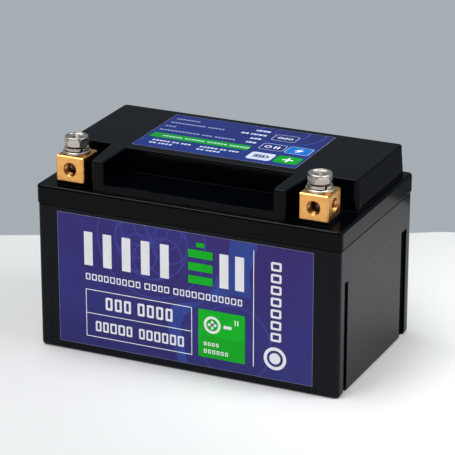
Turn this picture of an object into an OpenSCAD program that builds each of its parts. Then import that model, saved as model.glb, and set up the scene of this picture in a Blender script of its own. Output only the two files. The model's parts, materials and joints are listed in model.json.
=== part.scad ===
// Motorcycle battery: a twelve-volt pack of four cylindrical cells in a moulded case with a stepped lid.
// X runs along the length, the terminals are at the front (-Y), Z is up, and the origin is under the base.

/* [Body] */
// Overall length, which is the length of the lid
body_length = 150; // [149:0.5:153]
// Overall width from front to back, which is the width of the lid
body_width = 87; // [86.5:0.5:90]
// Height of the seam between case and lid
seam_height = 69.5; // [69.5:0.5:71]
// Height of the ledge around the raised top
ledge_height = 79; // [78.5:0.5:79.5]
// Height of the raised top
top_height = 93.5; // [93:0.5:95]
// Thickness of the moulded walls
wall = 2.5; // [2:0.1:2.8]
// Radius of the upright corners of the lid
corner_radius = 2.4; // [2.3:0.1:3.6]

/* [Lid] */
// Distance from the ends of the lid to the raised top
top_inset_end = 3.9; // [3:0.1:5]
// Distance from the back of the lid to the raised top
top_inset_back = 4.5; // [3:0.1:5.5]
// Depth of the terminal corners, from the front of the lid
terminal_bay_depth = 28.1; // [26:0.1:29]
// Half the width of the middle bay between the partitions
middle_bay_half = 41.5; // [38:0.5:43]
// Depth of the middle bay, from the front of the lid
middle_bay_depth = 25.6; // [22:0.1:27]
// Height of the floor of the middle bay
middle_floor_height = 82.2; // [81.8:0.1:84]
// Height of the low sill along the front of the middle bay
sill_height = 82.8; // [82.5:0.1:85]
// Draft of the outer walls of the raised top, in degrees
draft = 4; // [0:0.5:4.5]

/* [End grooves] */
// Distance from the middle plane to the inner edge of a groove
groove_inner = 32.5; // [30:0.5:34]
// Width of a groove
groove_width = 5; // [3:0.5:5.5]
// Depth of a groove
groove_depth = 1.8; // [0.8:0.1:2]
// Height that the grooves reach
groove_height = 53.4; // [45:0.5:60]

/* [Terminals] */
// Distance from the middle plane to the centre of a terminal
terminal_x = 59.7; // [59.5:0.1:60.5]
// Distance from the middle of the width to the centre of a terminal
terminal_y = 31.7; // [31:0.1:32.5]
// Size of a terminal block along the length
block_length = 14; // [12:0.1:14.2]
// Size of a terminal block from front to back
block_width = 14.1; // [12:0.1:14.5]
// Height of a terminal block
block_height = 12.4; // [12:0.1:13]
// Radius of the threaded holes in a terminal block
thread_radius = 3; // [2.5:0.1:3.2]
// Size of the bevel along the edges of a terminal block
block_chamfer = 0.5; // [0.2:0.1:0.8]
// Length of the terminal screw under its head
screw_length = 12; // [10:0.5:12]
// Width of the screw head across its flats
head_flats = 10; // [9:0.5:11]

/* [Cells] */
// Radius of a cell
cell_radius = 16.5; // [16:0.1:16.6]
// Length of a cell without its poles
cell_length = 137; // [135:0.5:137]

/* [Hidden] */
$fn = 64;
over = 1; // how far a cutting shape runs past the face it cuts

// case and lid
case_inset = 0.5;
case_length = body_length - 2 * case_inset;
case_width = body_width - 2 * case_inset;
case_corner = corner_radius - case_inset;
edge_radius = 1.7;
lid_edge = 1.2;
reveal_height = 0.9; // of the shadow line along the lower rim of the lid
reveal_depth = 0.8;
inside_length = case_length - 2 * wall;
inside_width = case_width - 2 * wall;
inside_corner = 1.5;
panel_depth = 0.5;
front_panel_half = 68.4;
front_panel_depth = 0.2;
upper_length = body_length - 2 * top_inset_end;
upper_back = body_width / 2 - top_inset_back;
upper_corner = 1.8;
top_edge = 0.8;
bay_back = terminal_bay_depth - body_width / 2;
middle_back = middle_bay_depth - body_width / 2;
partition_front = -body_width / 2 + 2.2;
partition_outer_front = middle_bay_half + 6;
partition_slant = 6.4;
partition_corner = 1.2;
sill_width = 2;
rib_wall = 2;
tongue_thickness = 1.1;
tongue_depth = 3;
tongue_half = 58;
tongue_gap = 0.1;
seal_groove = 0.9;
seal_size = 0.8;
seal_corner = 1.6;
label_thickness = 0.2;
front_label_low = [-64.5, 4];
front_label_high = [62, 67.5];
top_label_low = [-41.4, -13];
top_label_high = [40, 34.4];

// terminals and their screws
block_bottom = 80.4;
block_top = block_bottom + block_height;
pedestal_margin = 0.15;
stem_radius = 4.5;
stem_bottom = 74;
stem_hole = 4.6;
hole_height = block_bottom + block_height / 2;
hole_bottom = block_bottom + 1.5;
side_thread_depth = 3.6; // of the front and side holes, which stops short of the screw
pilot_radius = thread_radius - 0.5;
mouth_chamfer = 0.3;
seal_radius = 0.7;
seal_seat_radius = 6;
flat_washer_height = 1.5;
flat_washer_radius = 6.3;
spring_washer_height = 1.6;
spring_washer_radius = 5.6;
washer_hole = 3.2;
head_height = 5;
head_turn = 10;
head_crown = 0.1; // how much narrower the round of the head is than its flats, on top
head_dish_rim = 1.1;
head_dish_depth = 0.5;
cross_turn = 25;
cross_length = 5.6;
cross_width = 1.2;
cross_depth = 2.7;
shank_tip = 0.6;
split_turn = -40;
split_tilt = 30;
split_width = 0.7;
washer_bevel = 0.3;
head_bottom = block_top + flat_washer_height + spring_washer_height;
shank_radius = thread_radius - 0.05;
lead_head_height = 3;
lead_head_radius = 4.2;
lead_socket_radius = 2.3;
lead_socket_depth = 2;
lead_screw_radius = 2.05;
lead_thread_radius = 2.1;
lead_thread_depth = 6;

// cells, busbars and straps
floor_pad_height = 0.8;
holder_ring = cell_radius + 1;
pitch = 2 * cell_radius + 0.6;
low_cell = wall + floor_pad_height + holder_ring;
high_cell = low_cell + pitch;
pole_height = 0.5;
pole_radius = 5;
can_end_radius = 7;
bead_inset = 5;
bead_radius = 1;
bead_depth = 0.7;
strip = 0.5;
strip_face = cell_length / 2 + pole_height;
link_half = 6;
tab_top = 72.9;
tab_front = 28;
tab_width = 8;
tab_half = 4;
sense_tab_half = 3;
flange_bottom = 72.5;
flange_inner = 61;
front_flange_inner = 66.4;
board_link_inner = 44;
board_link_outer = 52;
board_link_front = -16;
board_link_back = -11.2;
strap_bottom = 73;
strap_top = 74;
strap_end = 68.6;
strap_width = 7.6;
strap_ring_radius = 6;
front_strap_left = 30;
front_strap_width = 8;
hole_room = 0.3; // between a screw and the hole it passes through
insulator_thickness = 0.4;
insulator_gap = 0.2;
insulator_middle = 36.5;
end_insulator_size = [74, 64, 4];
top_insulator_width = 66;
top_insulator_thickness = 0.5;
floor_pad_width = 72;
side_pad_size = [96, 56, 3];
side_pad_middle = 34;
holder_inner = 54;
holder_top = high_cell + holder_ring;
post_x = 57.2;
post_y = 8;
post_radius = 2.8;
post_hole = 1.3;
post_hole_depth = 5;
board_bottom = 74.5;
board_thickness = 1.6;
board_top = board_bottom + board_thickness;
board_half = 59;
board_front = -14;
board_back = 26;
transistor_height = 2.3;
transistor_size = [6.6, 10];
transistor_pitch = 9;
transistor_y = -5;
plate_half = 38;
plate_width = 12;
plate_thickness = 1.5;
fin_pitch = 2.6;
fin_thickness = 1;
fin_height = 4;
parts_y = 16;
chip_x = -20;
chip_size = 9;
chip_height = 1.2;
resistor_x = -2;
resistor_pitch = 7;
resistor_size = [5.4, 3.2];
resistor_height = 0.8;
capacitor_x = -44;
capacitor_pitch = 10;
capacitor_height = 8;
capacitor_radius = 4;
screw_cap_height = 1.4;
screw_cap_radius = 2.4;
plug_low = [42, 12, board_top];
plug_high = [54, 18, board_top + 6];
wire_radius = 0.4;
wire_drop = 60.5;

// Rectangle with round corners, centred
module round_rect(length, width, radius) {
    square([length - 2 * radius, width], center = true);
    square([length, width - 2 * radius], center = true);
    for (x = [-1, 1], y = [-1, 1])
        translate([x * (length / 2 - radius), y * (width / 2 - radius)]) circle(radius);
}

// Upright section of a block whose two lower edges are round; its sides lean out by the slope
module edge_section(width, height, edge, slope) {
    lean = slope * (height - edge);
    polygon([
        [-width / 2, edge], [width / 2, edge], [width / 2 + lean, height], [-width / 2 - lean, height]
    ]);
    translate([-width / 2 + edge, 0]) square([width - 2 * edge, height]);
    for (side = [-1, 1]) translate([side * (width / 2 - edge), edge]) circle(edge);
}

// Half of that section, for one corner of the block
module corner_section(radius, height, edge, slope) {
    polygon([[0, edge], [radius, edge], [radius + slope * (height - edge), height], [0, height]]);
    square([radius - edge, height]);
    intersection() {
        translate([radius - edge, edge]) circle(edge);
        square([radius, 2 * edge]);
    }
}

// Block with round upright corners and round lower edges, standing on z = 0; it may widen upwards by a slope
module soft_block(length, width, height, corner, edge, slope = 0) {
    rotate([90, 0, 90])
        linear_extrude(length - 2 * corner, center = true) edge_section(width, height, edge, slope);
    rotate([90, 0, 0])
        linear_extrude(width - 2 * corner, center = true) edge_section(length, height, edge, slope);
    for (x = [-1, 1], y = [-1, 1])
        translate([x * (length / 2 - corner), y * (width / 2 - corner), 0])
            rotate_extrude() corner_section(corner, height, edge, slope);
}

// Box given by its lowest and highest corners
module box(low, high) {
    translate(low) cube(high - low);
}

// The same thing on both ends or on both sides
module both_ends() {
    for (side = [0, 1]) mirror([side, 0, 0]) children();
}

module both_sides() {
    for (side = [0, 1]) mirror([0, side, 0]) children();
}

module case() {
    color([0.06, 0.065, 0.07]) difference() {
        union() {
            difference() {
                soft_block(case_length, case_width, seam_height, case_corner, edge_radius);
                translate([0, 0, wall]) linear_extrude(seam_height)
                    round_rect(inside_length, inside_width, inside_corner);
            }
            // wall behind each groove
            both_ends() both_sides() box(
                [inside_length / 2 - groove_depth + 0.9, groove_inner - 1.5, wall / 2],
                [case_length / 2 - groove_depth, groove_inner + groove_width + 1.5, groove_height + 1.5]);
        }
        both_ends() both_sides() box(
            [case_length / 2 - groove_depth, groove_inner, -over],
            [case_length / 2 + over, groove_inner + groove_width, groove_height]);
        both_ends() box(
            [case_length / 2 - panel_depth, -groove_inner, -over],
            [case_length / 2 + over, groove_inner, groove_height]);
        both_sides() box(
            [-front_panel_half, case_width / 2 - front_panel_depth, -over],
            [front_panel_half, case_width / 2 + over, seam_height + over]);
        translate([0, 0, seam_height - seal_groove]) seal_ring(seal_groove, seal_groove + over);
    }
}

// Ring that follows the rim of the case
module seal_ring(width, height) {
    middle = wall / 2 + width / 2;
    linear_extrude(height) difference() {
        round_rect(
            case_length - 2 * middle + 2 * width, case_width - 2 * middle + 2 * width, seal_corner + width);
        round_rect(case_length - 2 * middle, case_width - 2 * middle, seal_corner);
    }
}

module lid_seal() {
    color("dimgray") translate([0, 0, seam_height - seal_groove + 0.05]) seal_ring(seal_size, seal_size);
}

// Soft block upside down, so that its round edges are on top; its top is at the given height
module soft_top(low, high, height, corner, edge, slope = 0) {
    middle = (low + high) / 2;
    translate([middle[0], middle[1], height]) mirror([0, 0, 1])
        soft_block(high[0] - low[0], high[1] - low[1], height - ledge_height + over, corner, edge, slope);
}

// Raised top: a block across the back, a strip behind the middle bay and two tapered partitions
module raised_top() {
    soft_top([-upper_length / 2, bay_back], [upper_length / 2, upper_back], top_height,
        upper_corner, top_edge, tan(draft));
    soft_top([-middle_bay_half - 4, middle_back], [middle_bay_half + 4, bay_back + 8], top_height,
        upper_corner, top_edge);
    both_ends() {
        partition_block(0);
        translate([partition_outer_front, partition_front, 0]) rotate([0, 0, -partition_slant])
            translate([-partition_outer_front, -partition_front, 0]) partition_block(-1);
    }
}

// Half of one partition; shift moves its inner side away from the outer one
module partition_block(shift) {
    soft_top([middle_bay_half - shift, partition_front], [partition_outer_front, bay_back + 4], top_height,
        partition_corner, top_edge);
}

module lid() {
    color([0.06, 0.065, 0.07]) difference() {
        union() {
            translate([0, 0, ledge_height]) mirror([0, 0, 1]) soft_block(
                body_length, body_width, ledge_height - seam_height - reveal_height, corner_radius, lid_edge);
            translate([0, 0, seam_height]) linear_extrude(reveal_height + over) round_rect(
                body_length - 2 * reveal_depth, body_width - 2 * reveal_depth, corner_radius - reveal_depth);
            raised_top();
            middle_bay_floor();
            both_ends() translate([terminal_x, -terminal_y, ledge_height - over])
                linear_extrude(block_bottom - ledge_height + over) square(
                    [block_length - 2 * pedestal_margin, block_width - 2 * pedestal_margin], center = true);
            both_sides() box(
                [-tongue_half, inside_width / 2 - tongue_gap - tongue_thickness, seam_height - tongue_depth],
                [tongue_half, inside_width / 2 - tongue_gap, seam_height + 2]);
        }
        lid_hollow();
        both_ends() translate([terminal_x, -terminal_y, 0]) {
            translate([0, 0, stem_bottom]) cylinder(h = block_bottom - stem_bottom + over, r = stem_hole);
            translate([0, 0, block_bottom - 2 * seal_radius - 0.05])
                cylinder(h = 2 * seal_radius + over, r = seal_seat_radius);
        }
    }
}

module middle_bay_floor() {
    box([-middle_bay_half - over, partition_front, ledge_height - over],
        [middle_bay_half + over, middle_back + over, middle_floor_height]);
    box([-middle_bay_half - over, partition_front, ledge_height - over],
        [middle_bay_half + over, partition_front + sill_width, sill_height]);
}

// Room inside the lid: under the ledge, the raised top, the middle bay and the partitions
module lid_hollow() {
    difference() {
        translate([0, 0, seam_height - over]) linear_extrude(ledge_height - wall - seam_height + over)
            round_rect(inside_length, inside_width, inside_corner);
        both_sides() box(
            [-tongue_half, inside_width / 2 - tongue_gap - tongue_thickness, seam_height - 2 * over],
            [tongue_half, inside_width / 2 + over, seam_height + 2]);
    }
    box([-upper_length / 2 + wall, bay_back + wall, seam_height + 3],
        [upper_length / 2 - wall, upper_back - wall, top_height - wall]);
    box([-middle_bay_half + wall, middle_back + wall, seam_height + 3],
        [middle_bay_half - wall, bay_back + wall + over, top_height - wall]);
    box([-middle_bay_half + wall, partition_front + wall, seam_height + 3],
        [middle_bay_half - wall, middle_back + wall + over, middle_floor_height - wall]);
    both_ends() box(
        [middle_bay_half + rib_wall, partition_front + rib_wall, seam_height + 3],
        [partition_outer_front - rib_wall, bay_back + wall + over, top_height - wall]);
}

module front_label() {
    panel_face = -case_width / 2 + front_panel_depth;
    color([0.2, 0.18, 0.45]) box(
        [front_label_low[0], panel_face - label_thickness, front_label_low[1]],
        [front_label_high[0], panel_face, front_label_high[1]]);
}

module top_label() {
    color([0.2, 0.18, 0.45]) translate([top_label_low[0], top_label_low[1], top_height])
        linear_extrude(label_thickness) square(top_label_high - top_label_low);
}

// Terminal block with its stem through the lid; outward is -1 on the left and 1 on the right
module terminal(outward) {
    translate([outward * terminal_x, -terminal_y, 0]) difference() {
        union() {
            translate([0, 0, hole_height])
                chamfered_block([block_length, block_width, block_height], block_chamfer);
            translate([0, 0, stem_bottom]) cylinder(h = block_bottom - stem_bottom + over, r = stem_radius);
        }
        translate([0, 0, hole_bottom]) threaded_hole(block_top - hole_bottom, block_top - hole_bottom);
        translate([0, 0, hole_height]) rotate([90, 0, 0]) threaded_hole(block_width / 2, side_thread_depth);
        translate([0, 0, hole_height]) rotate([0, outward * 90, 0])
            threaded_hole(block_length / 2, side_thread_depth);
        translate([0, 0, stem_bottom - over]) cylinder(h = lead_thread_depth + over, r = lead_thread_radius);
    }
}

// Centred block with all twelve edges cut at 45 degrees
module chamfered_block(size, chamfer) {
    intersection() {
        cube(size, center = true);
        cut_prism(size[0], size[1], chamfer, [0, 0, 0], size[2]);
        cut_prism(size[2], size[1], chamfer, [0, 90, 0], size[0]);
        cut_prism(size[0], size[2], chamfer, [90, 0, 0], size[1]);
    }
}

// Upright prism whose section is a rectangle with cut corners, turned to lie along another axis
module cut_prism(width, depth, chamfer, turn, height) {
    x = width / 2;
    y = depth / 2;
    rotate(turn) linear_extrude(height, center = true) polygon([
        [x - chamfer, -y], [x, -y + chamfer], [x, y - chamfer], [x - chamfer, y],
        [-x + chamfer, y], [-x, y - chamfer], [-x, -y + chamfer], [-x + chamfer, -y]
    ]);
}

// Hole along +Z from 0 to its chamfered mouth; the part below the thread is a narrower pilot hole
module threaded_hole(depth, thread_depth) {
    cylinder(h = depth + over, r = pilot_radius);
    translate([0, 0, depth - thread_depth]) cylinder(h = thread_depth + over, r = thread_radius);
    translate([0, 0, depth - mouth_chamfer])
        cylinder(h = mouth_chamfer + 0.01, r1 = thread_radius, r2 = thread_radius + mouth_chamfer);
}

module positive_terminal() {
    color([0.9, 0.62, 0.32]) terminal(-1);
}

module negative_terminal() {
    color([0.9, 0.62, 0.32]) terminal(1);
}

module terminal_seal(outward) {
    color("black") translate([outward * terminal_x, -terminal_y, block_bottom - seal_radius - 0.02])
        rotate_extrude() translate([stem_radius + 0.05 + seal_radius, 0]) circle(seal_radius);
}

module positive_terminal_seal() {
    terminal_seal(-1);
}

module negative_terminal_seal() {
    terminal_seal(1);
}

// Hexagon-head screw with a dished top, a cross recess and a plain shank at the thread's outer size
module terminal_screw(outward) {
    color([0.78, 0.76, 0.73]) translate([outward * terminal_x, -terminal_y, head_bottom]) difference() {
        union() {
            intersection() {
                rotate([0, 0, head_turn]) cylinder(h = head_height, r = head_flats / 2 / cos(30), $fn = 6);
                cylinder(h = head_height, r1 = head_flats / 2 + 4, r2 = head_flats / 2 - head_crown);
            }
            translate([0, 0, -screw_length + shank_tip]) cylinder(h = screw_length, r = shank_radius);
            translate([0, 0, -screw_length])
                cylinder(h = shank_tip, r1 = shank_radius - shank_tip, r2 = shank_radius);
        }
        translate([0, 0, head_height - head_dish_depth])
            cylinder(h = over, r = head_flats / 2 - head_dish_rim);
        for (turn = [0, 90]) rotate([0, 0, turn + cross_turn])
            translate([-cross_length / 2, -cross_width / 2, head_height - cross_depth])
                cube([cross_length, cross_width, cross_depth + over]);
    }
}

module positive_screw() {
    terminal_screw(-1);
}

module negative_screw() {
    terminal_screw(1);
}

// Disc on z = 0 with a bevel around each rim
module bevelled_disc(radius, height, bevel) {
    rotate_extrude() polygon([
        [0, 0], [radius - bevel, 0], [radius, bevel],
        [radius, height - bevel], [radius - bevel, height], [0, height]
    ]);
}

module spring_washer(outward) {
    color([0.7, 0.68, 0.66])
        translate([outward * terminal_x, -terminal_y, block_top + flat_washer_height]) difference() {
            bevelled_disc(spring_washer_radius, spring_washer_height, washer_bevel);
            translate([0, 0, -over]) cylinder(h = spring_washer_height + 2 * over, r = washer_hole);
            rotate([0, 0, split_turn]) translate([spring_washer_radius, 0, spring_washer_height / 2])
                rotate([split_tilt, 0, 0])
                    cube([spring_washer_radius, split_width, 4 * spring_washer_height], center = true);
        }
}

module positive_spring_washer() {
    spring_washer(-1);
}

module negative_spring_washer() {
    spring_washer(1);
}

module flat_washer(outward) {
    color([0.8, 0.78, 0.75]) translate([outward * terminal_x, -terminal_y, block_top]) difference() {
        bevelled_disc(flat_washer_radius, flat_washer_height, washer_bevel);
        translate([0, 0, -over]) cylinder(h = flat_washer_height + 2 * over, r = washer_hole);
    }
}

module positive_flat_washer() {
    flat_washer(-1);
}

module negative_flat_washer() {
    flat_washer(1);
}

// Cell lying along X; plus is 1 when its positive pole points right and -1 when it points left
module cell(y, z, plus) {
    bead_place = plus * (cell_length / 2 - bead_inset);
    translate([0, y, z]) rotate([0, 90, 0]) {
        difference() {
            cylinder(h = cell_length, r = cell_radius, center = true);
            translate([0, 0, bead_place]) rotate_extrude()
                translate([cell_radius + bead_radius - bead_depth, 0]) circle(bead_radius);
        }
        translate([0, 0, plus * strip_face / 2]) cylinder(h = strip_face, r = pole_radius, center = true);
        translate([0, 0, -plus * strip_face / 2]) cylinder(h = strip_face, r = can_end_radius, center = true);
    }
}

module cell_1() {
    color([0.12, 0.3, 0.62]) cell(-pitch / 2, low_cell, -1);
}

module cell_2() {
    color([0.12, 0.3, 0.62]) cell(-pitch / 2, high_cell, 1);
}

module cell_3() {
    color([0.12, 0.3, 0.62]) cell(pitch / 2, high_cell, -1);
}

module cell_4() {
    color([0.12, 0.3, 0.62]) cell(pitch / 2, low_cell, 1);
}

// Frame that holds one end of all four cells and carries two posts for the board
module cell_holder() {
    color([0.2, 0.2, 0.22]) difference() {
        union() {
            translate([holder_inner, 0, 0]) rotate([90, 0, 90])
                linear_extrude(cell_length / 2 - holder_inner) holder_outline();
            both_sides() translate([post_x, post_y, holder_top - over])
                cylinder(h = board_bottom - holder_top + over, r = post_radius);
        }
        both_sides() translate([post_x, post_y, board_bottom - post_hole_depth])
            cylinder(h = post_hole_depth + over, r = post_hole);
    }
}

module holder_outline() {
    difference() {
        union() {
            cell_circles(holder_ring);
            translate([-pitch / 2, wall + floor_pad_height])
                square([pitch, holder_top - wall - floor_pad_height]);
        }
        cell_circles(cell_radius + 0.1);
    }
}

module cell_circles(radius) {
    for (y = [-1, 1], z = [low_cell, high_cell]) translate([y * pitch / 2, z]) circle(radius);
}

module left_cell_holder() {
    mirror([1, 0, 0]) cell_holder();
}

module right_cell_holder() {
    cell_holder();
}

// Upright link on the left that joins a low and a high cell; front is -1 and back is 1
module upright_link(side) {
    color([0.8, 0.78, 0.72]) box(
        [-strip_face - strip, side * pitch / 2 - link_half, low_cell - link_half],
        [-strip_face, side * pitch / 2 + link_half, tab_top]);
}

module left_front_busbar() {
    upright_link(-1);
}

module left_back_busbar() {
    upright_link(1);
}

// Link across the two high cells, with a narrow sense tab in its middle
module right_busbar() {
    color([0.8, 0.78, 0.72]) {
        box([strip_face, -pitch / 2 - link_half, high_cell - link_half],
            [strip_face + strip, pitch / 2 + link_half, high_cell + link_half]);
        box([strip_face, -sense_tab_half, high_cell], [strip_face + strip, sense_tab_half, tab_top]);
    }
}

// Strip from a low cell's pole, out past the high cell and up to the strap level; side is -1 or 1
module pole_tab(side) {
    mirror([0, side < 0 ? 1 : 0, 0]) {
        box([strip_face, pitch / 2 - link_half, low_cell - tab_half],
            [strip_face + strip, tab_front + tab_width, low_cell + tab_half]);
        box([strip_face, tab_front, low_cell - tab_half],
            [strip_face + strip, tab_front + tab_width, flange_bottom + strip]);
    }
}

module positive_tab() {
    color([0.8, 0.78, 0.72]) {
        pole_tab(1);
        box([flange_inner, tab_front, flange_bottom],
            [strip_face + strip, tab_front + tab_width, flange_bottom + strip]);
    }
}

module negative_tab() {
    color([0.8, 0.78, 0.72]) {
        pole_tab(-1);
        box([front_flange_inner, -tab_front - tab_width, flange_bottom],
            [strip_face + strip, board_link_back, flange_bottom + strip]);
        box([board_link_inner, board_link_front, flange_bottom],
            [front_flange_inner + strip, board_link_back, flange_bottom + strip]);
        box([board_link_inner, board_front, flange_bottom],
            [board_link_outer, board_link_back, board_bottom]);
    }
}

module end_insulator(end) {
    color([0.85, 0.75, 0.5])
        translate([end * (strip_face + strip + insulator_gap + insulator_thickness / 2), 0, insulator_middle])
            rotate([90, 0, 90]) linear_extrude(insulator_thickness, center = true)
                round_rect(end_insulator_size[0], end_insulator_size[1], end_insulator_size[2]);
}

module left_end_insulator() {
    end_insulator(-1);
}

module right_end_insulator() {
    end_insulator(1);
}

module top_insulator() {
    color([0.85, 0.75, 0.5]) translate([0, 0, high_cell + cell_radius + 0.1])
        linear_extrude(top_insulator_thickness) round_rect(2 * holder_inner - 2, top_insulator_width, 3);
}

module floor_pad() {
    color([0.3, 0.3, 0.32]) translate([0, 0, wall])
        linear_extrude(floor_pad_height) round_rect(2 * strip_face, floor_pad_width, 2);
}

module side_pad(side) {
    color([0.3, 0.3, 0.32])
        translate([0, side * (inside_width / 2 + pitch / 2 + cell_radius + 0.1) / 2, side_pad_middle])
            rotate([90, 0, 0]) linear_extrude(inside_width / 2 - pitch / 2 - cell_radius - 0.3, center = true)
                round_rect(side_pad_size[0], side_pad_size[1], side_pad_size[2]);
}

module front_side_pad() {
    side_pad(-1);
}

module back_side_pad() {
    side_pad(1);
}

module control_board() {
    color([0.05, 0.35, 0.2]) difference() {
        translate([-board_half, board_front, board_bottom])
            cube([2 * board_half, board_back - board_front, board_thickness]);
        both_ends() both_sides() translate([post_x, post_y, board_bottom - over])
            cylinder(h = board_thickness + 2 * over, r = post_hole + hole_room);
    }
}

module board_transistors() {
    color([0.1, 0.1, 0.1]) for (place = [-4:3])
        translate([(place + 0.5) * transistor_pitch, transistor_y, board_top])
            linear_extrude(transistor_height) square(transistor_size, center = true);
}

module heat_plate() {
    color([0.7, 0.71, 0.73]) translate([0, transistor_y, board_top + transistor_height]) {
        linear_extrude(plate_thickness) square([2 * plate_half, plate_width], center = true);
        for (fin = [-2:2]) translate([0, fin * fin_pitch, 0])
            linear_extrude(plate_thickness + fin_height)
                square([2 * plate_half, fin_thickness], center = true);
    }
}

// Controller chip, four current-sense resistors and two capacitors
module board_parts() {
    color([0.15, 0.15, 0.16]) translate([0, parts_y, board_top]) {
        translate([chip_x, 0]) linear_extrude(chip_height) square(chip_size, center = true);
        for (place = [0:3]) translate([resistor_x + resistor_pitch * place, 0])
            linear_extrude(resistor_height) square(resistor_size, center = true);
        for (place = [0, 1]) translate([capacitor_x + capacitor_pitch * place, 0])
            cylinder(h = capacitor_height, r = capacitor_radius);
    }
}

module balance_plug() {
    color([0.92, 0.92, 0.88]) box(plug_low, plug_high);
}

// Eight-sided wire through a list of points; its runs reach a little past each bend
module wire(points) {
    for (place = [0:len(points) - 2])
        wire_run(points[place], points[place + 1], place < len(points) - 2 ? wire_radius / 2 : 0);
}

module wire_run(from, to, past) {
    step = to - from;
    length = norm(step);
    translate(from) rotate([0, acos(step[2] / length), atan2(step[1], step[0])])
        cylinder(h = length + past, r = wire_radius, $fn = 8);
}

// Route of a sense wire: out of its pin, up to its own level, and on through the given points
function route(pin, level, points) = concat([
    [44 + 2 * pin, plug_high[1], board_top + 4],
    [44 + 2 * pin, plug_high[1] + 1.5, board_top + 4],
    [44 + 2 * pin, plug_high[1] + 1.5, level]
], points);

module balance_wires() {
    low = flange_bottom - 0.05;
    middle = flange_bottom + strip / 2;
    out = strip_face;
    drop = wire_drop;
    color("firebrick") {
        wire(route(4, 84, [[drop, 0, 84], [drop, 0, low], [out, 0, low]]));
        wire(route(3, 85, [[drop, 16, 85], [drop, 16, low], [64, 22, middle], [64, tab_front, middle]]));
        wire(route(2, 86, [[drop, -3, 86], [drop, -3, low], [62, -8, middle], [62, -11.2, middle]]));
        wire(route(1, 88, [
            [-drop, 12, 88], [-drop, 12, low], [-drop, pitch / 2, low], [-out, pitch / 2, low]
        ]));
        wire(route(0, 87, [
            [-drop, 4, 87], [-drop, 4, low], [-drop, -pitch / 2, low], [-out, -pitch / 2, low]
        ]));
    }
}

// Ring of a strap that sits under a terminal's stem
module strap_ring(outward) {
    translate([outward * terminal_x, -terminal_y]) circle(strap_ring_radius);
}

module positive_lead() {
    color([0.85, 0.5, 0.3]) translate([0, 0, strap_bottom])
        linear_extrude(strap_top - strap_bottom) difference() {
            union() {
                translate([-strap_end, tab_front]) square([2 * strap_end - 1.2, tab_width]);
                translate([-strap_end, -terminal_y]) square([strap_width, terminal_y + tab_front + 1]);
                strap_ring(-1);
            }
            translate([-terminal_x, -terminal_y]) circle(lead_thread_radius + hole_room);
        }
}

module negative_lead() {
    color([0.85, 0.5, 0.3]) {
        translate([0, 0, strap_bottom]) linear_extrude(strap_top - strap_bottom) difference() {
            union() {
                translate([front_strap_left, -terminal_y - front_strap_width / 2])
                    square([front_strap_width, terminal_y - 1]);
                translate([front_strap_left, -terminal_y - front_strap_width / 2])
                    square([terminal_x - front_strap_left, front_strap_width]);
                strap_ring(1);
            }
            translate([terminal_x, -terminal_y]) circle(lead_thread_radius + hole_room);
        }
        box([front_strap_left, board_front + 1, strap_bottom],
            [front_strap_left + front_strap_width, -5, board_bottom]);
    }
}

// Screws that clamp the straps to the stems from below
module lead_screws() {
    color([0.7, 0.7, 0.72]) both_ends() translate([terminal_x, -terminal_y, strap_bottom]) difference() {
        union() {
            cylinder(h = lead_thread_depth, r = lead_screw_radius);
            mirror([0, 0, 1]) cylinder(h = lead_head_height, r = lead_head_radius);
        }
        translate([0, 0, -lead_head_height - over])
            cylinder(h = lead_socket_depth + over, r = lead_socket_radius, $fn = 6);
    }
}

module board_screws() {
    color([0.7, 0.7, 0.72]) both_ends() both_sides() translate([post_x, post_y, board_top]) {
        cylinder(h = screw_cap_height, r = screw_cap_radius);
        mirror([0, 0, 1]) cylinder(h = board_thickness + post_hole_depth - 0.5, r = post_hole - 0.05);
    }
}

case();
lid();
lid_seal();
front_label();
top_label();
positive_terminal();
negative_terminal();
positive_terminal_seal();
negative_terminal_seal();
positive_screw();
negative_screw();
positive_spring_washer();
negative_spring_washer();
positive_flat_washer();
negative_flat_washer();
cell_1();
cell_2();
cell_3();
cell_4();
left_cell_holder();
right_cell_holder();
left_front_busbar();
left_back_busbar();
right_busbar();
positive_tab();
negative_tab();
left_end_insulator();
right_end_insulator();
top_insulator();
floor_pad();
front_side_pad();
back_side_pad();
control_board();
board_transistors();
board_parts();
heat_plate();
balance_plug();
balance_wires();
positive_lead();
negative_lead();
lead_screws();
board_screws();
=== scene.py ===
# Looks of the motorcycle battery: materials for the CAD parts, the printing on its two labels,
# threaded screws and holes, a studio floor, lights and the camera.
import json
import math

import bmesh
import bpy
from mathutils import Matrix, Vector


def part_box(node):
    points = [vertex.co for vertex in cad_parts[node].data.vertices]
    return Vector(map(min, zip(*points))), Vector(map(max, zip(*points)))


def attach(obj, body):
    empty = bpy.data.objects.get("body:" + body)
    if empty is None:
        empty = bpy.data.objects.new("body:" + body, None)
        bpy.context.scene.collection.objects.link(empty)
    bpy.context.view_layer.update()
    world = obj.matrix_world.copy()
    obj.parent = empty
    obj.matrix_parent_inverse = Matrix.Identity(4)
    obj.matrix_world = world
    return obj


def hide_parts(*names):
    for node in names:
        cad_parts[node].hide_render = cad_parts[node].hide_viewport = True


# Shapes are given in millimetres. The frame's boxes, the stage, the lights and the camera are in metres.
MM = 0.001
WELD_DISTANCE = 1e-5
# corners of every round shape on the screws and in the holes
COLUMNS = 96
RING_ANGLES = [2 * math.pi * i / COLUMNS for i in range(COLUMNS)]
# one turn of a thread rises by the pitch and has this many rows of faces
PITCH = 1.0
ROWS_A_TURN = 10

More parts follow.
